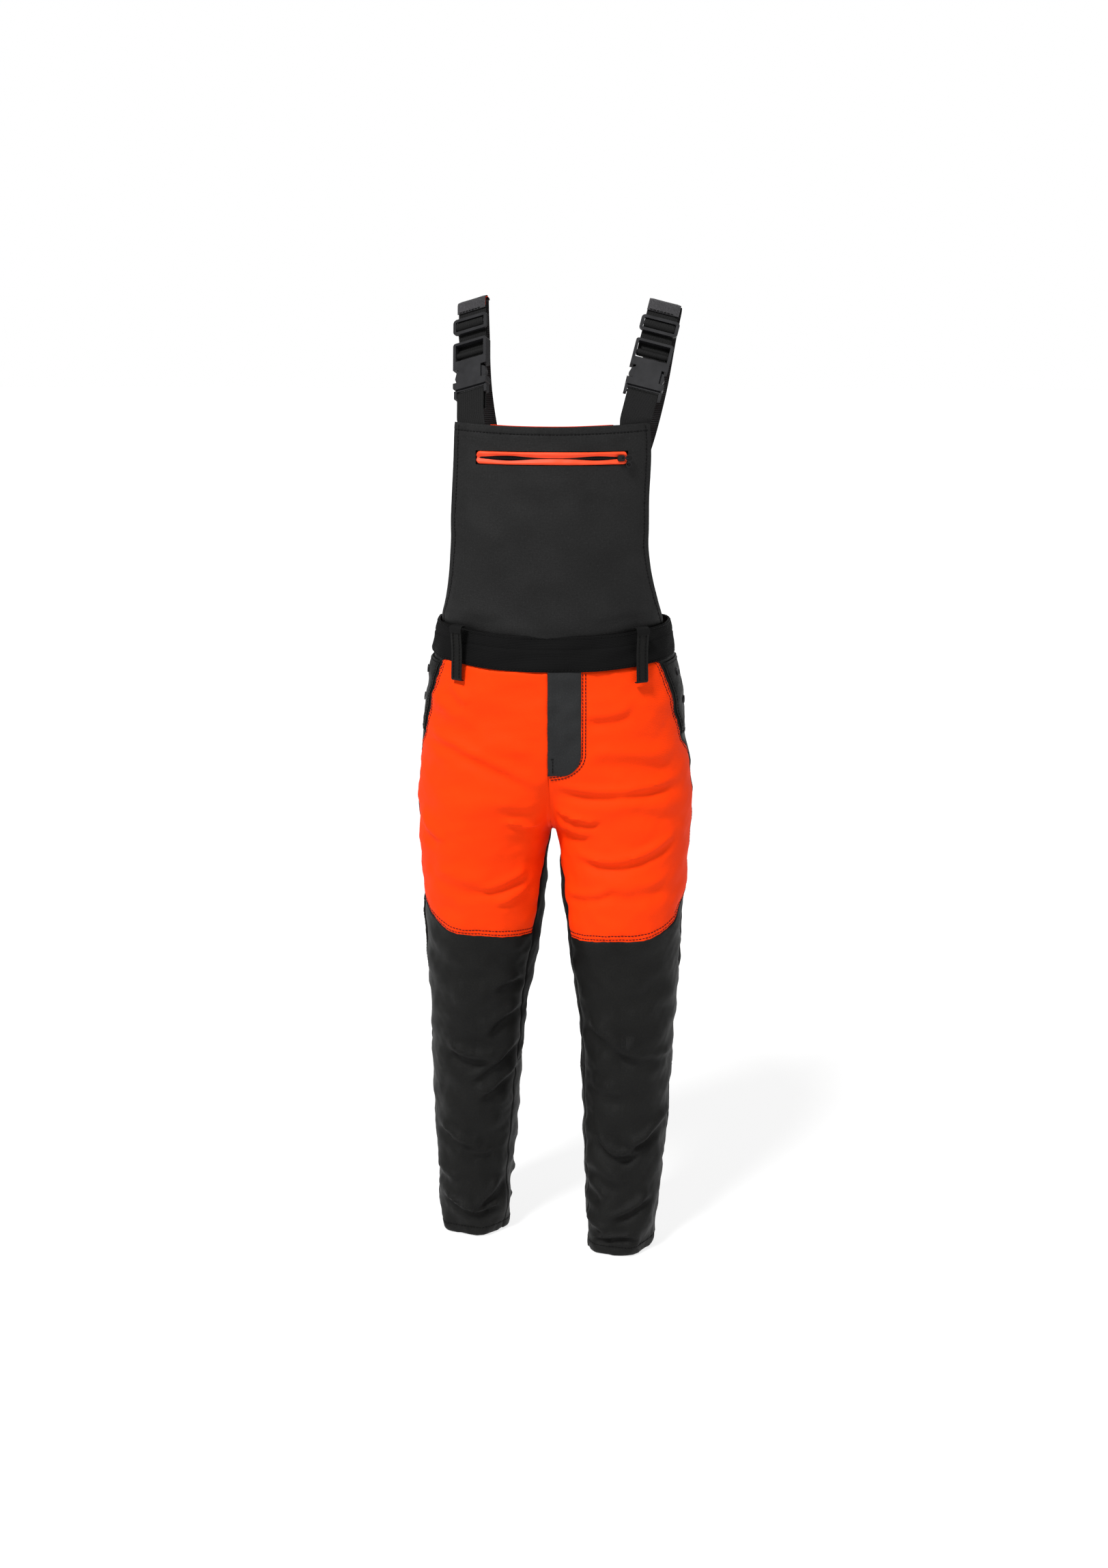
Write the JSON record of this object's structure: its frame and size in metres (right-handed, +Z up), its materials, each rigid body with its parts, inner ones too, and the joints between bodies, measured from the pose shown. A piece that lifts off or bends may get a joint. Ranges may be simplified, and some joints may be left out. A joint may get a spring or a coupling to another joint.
{
  "type": "chainsaw bib trousers",
  "caption": "Chainsaw-protection bib trousers worn on the body: orange thighs, dark shins and bib, zipped chest pocket, side plackets and buckled shoulder straps.",
  "frame": {"origin": "middle of the footprint, on the plane of the trouser hems", "axes": "+Z up from the hems to the shoulders, -Y the way the wearer faces, +X the wearer's left"},
  "size_m": [0.4322, 0.2841, 1.5002],
  "materials": {
    "orange_cloth": "matt woven high-visibility polyester",
    "charcoal_cloth": "matt textured nylon weave",
    "lining": "smooth matt knit",
    "cut_fibre": "layered long-fibre padding",
    "elastic": "ribbed elastic",
    "webbing": "woven webbing",
    "buckle": "fine-textured moulding",
    "zip": "moulded black",
    "snap": "black capped"
  },
  "bodies": {
    "garment": {"left_thigh_panel": "orange_cloth", "left_shin_panel": "charcoal_cloth", "left_back_leg_panel": "charcoal_cloth", "left_cut_insert": "cut_fibre", "left_leg_lining": "lining", "left_pocket_facing": "charcoal_cloth", "left_pocket_bag": "lining", "left_snap_stud_upper": "snap", "left_snap_stud_lower": "snap", "left_bib_strap": "webbing", "left_male_clip": "buckle", "left_buckle_housing": "buckle", "left_webbing": "webbing", "left_back_strap": "elastic", "right_thigh_panel": "orange_cloth", "right_shin_panel": "charcoal_cloth", "right_back_leg_panel": "charcoal_cloth", "right_cut_insert": "cut_fibre", "right_leg_lining": "lining", "right_pocket_facing": "charcoal_cloth", "right_pocket_bag": "lining", "right_snap_stud_upper": "snap", "right_snap_stud_lower": "snap", "right_bib_strap": "webbing", "right_male_clip": "buckle", "right_buckle_housing": "buckle", "right_webbing": "webbing", "right_back_strap": "elastic", "fly_flap": "charcoal_cloth", "fly_zip_chain": "zip", "front_waistband": "elastic", "back_waistband": "elastic", "front_left_belt_loop": "charcoal_cloth", "front_right_belt_loop": "charcoal_cloth", "back_right_belt_loop": "charcoal_cloth", "back_left_belt_loop": "charcoal_cloth", "rule_pocket": "charcoal_cloth", "bib_panel": "charcoal_cloth", "bib_lining": "orange_cloth", "chest_pocket_bag": "lining", "chest_zip_upper_lip": "orange_cloth", "chest_zip_lower_lip": "orange_cloth", "chest_zip_chain": "zip", "back_panel": "charcoal_cloth"},
    "chest_zip_slider": {"chest_zip_slider": "zip"},
    "chest_zip_pull": {"chest_zip_pull": "zip"},
    "fly_zip_slider": {"fly_zip_slider": "zip"},
    "left_prong_outer": {"left_prong_outer": "buckle"},
    "left_prong_inner": {"left_prong_inner": "buckle"},
    "left_strap_slider": {"left_strap_slider": "buckle"},
    "left_placket": {"left_placket": "charcoal_cloth", "left_snap_cap_upper": "snap", "left_snap_cap_lower": "snap"},
    "right_prong_outer": {"right_prong_outer": "buckle"},
    "right_prong_inner": {"right_prong_inner": "buckle"},
    "right_strap_slider": {"right_strap_slider": "buckle"},
    "right_placket": {"right_placket": "charcoal_cloth", "right_snap_cap_upper": "snap", "right_snap_cap_lower": "snap"}
  },
  "joints": [
    {"name": "chest_zip_travel", "type": "hinge", "parent": "garment", "child": "chest_zip_slider", "pos_m": [0, 0.1394, 1.2725], "axis": [0, 0, 1], "range_deg": [-42, 0]},
    {"name": "chest_zip_pull_swing", "type": "hinge", "parent": "chest_zip_slider", "child": "chest_zip_pull", "pos_m": [0.11272, -0.1223, 1.2725], "axis": [0, 0, 1], "range_deg": [-100, 0]},
    {"name": "fly_zip_travel", "type": "slide", "parent": "garment", "child": "fly_zip_slider", "axis": [0, 0, 1], "range_m": [-0.108, 0]},
    {"name": "left_prong_outer_squeeze", "type": "hinge", "parent": "garment", "child": "left_prong_outer", "pos_m": [0.14879, -0.07071, 1.37196], "axis": [0.1363, -0.867, 0.4794], "range_deg": [0, 6], "stiffness_Nm_per_rad": 0.05},
    {"name": "left_prong_inner_squeeze", "type": "hinge", "parent": "garment", "child": "left_prong_inner", "pos_m": [0.12455, -0.07116, 1.37804], "axis": [-0.1363, 0.867, -0.4794], "range_deg": [0, 6], "stiffness_Nm_per_rad": 0.05},
    {"name": "left_strap_slider_travel", "type": "slide", "parent": "garment", "child": "left_strap_slider", "axis": [0.2022, 0.4981, 0.8432], "range_m": [-0.012, 0.008]},
    {"name": "left_placket_opening", "type": "hinge", "parent": "garment", "child": "left_placket", "pos_m": [0.20582, 0.03152, 0.84836], "axis": [-0.1539, -0.0767, 0.9851], "range_deg": [0, 60]},
    {"name": "right_prong_outer_squeeze", "type": "hinge", "parent": "garment", "child": "right_prong_outer", "pos_m": [-0.12615, -0.06995, 1.37306], "axis": [0.438, 0.7849, -0.4384], "range_deg": [0, 6], "stiffness_Nm_per_rad": 0.05},
    {"name": "right_prong_inner_squeeze", "type": "hinge", "parent": "garment", "child": "right_prong_inner", "pos_m": [-0.10371, -0.07891, 1.37945], "axis": [-0.438, -0.7849, 0.4384], "range_deg": [0, 6], "stiffness_Nm_per_rad": 0.05},
    {"name": "right_strap_slider_travel", "type": "slide", "parent": "garment", "child": "right_strap_slider", "axis": [-0.0433, 0.5055, 0.8617], "range_m": [-0.012, 0.008]},
    {"name": "right_placket_opening", "type": "hinge", "parent": "garment", "child": "right_placket", "pos_m": [-0.20582, 0.03152, 0.84836], "axis": [-0.1539, 0.0767, -0.9851], "range_deg": [0, 60]}
  ],
  "couplings": [
    {"joint": "left_prong_inner_squeeze", "follows": "left_prong_outer_squeeze", "ratio": 1},
    {"joint": "right_prong_inner_squeeze", "follows": "right_prong_outer_squeeze", "ratio": 1}
  ]
}
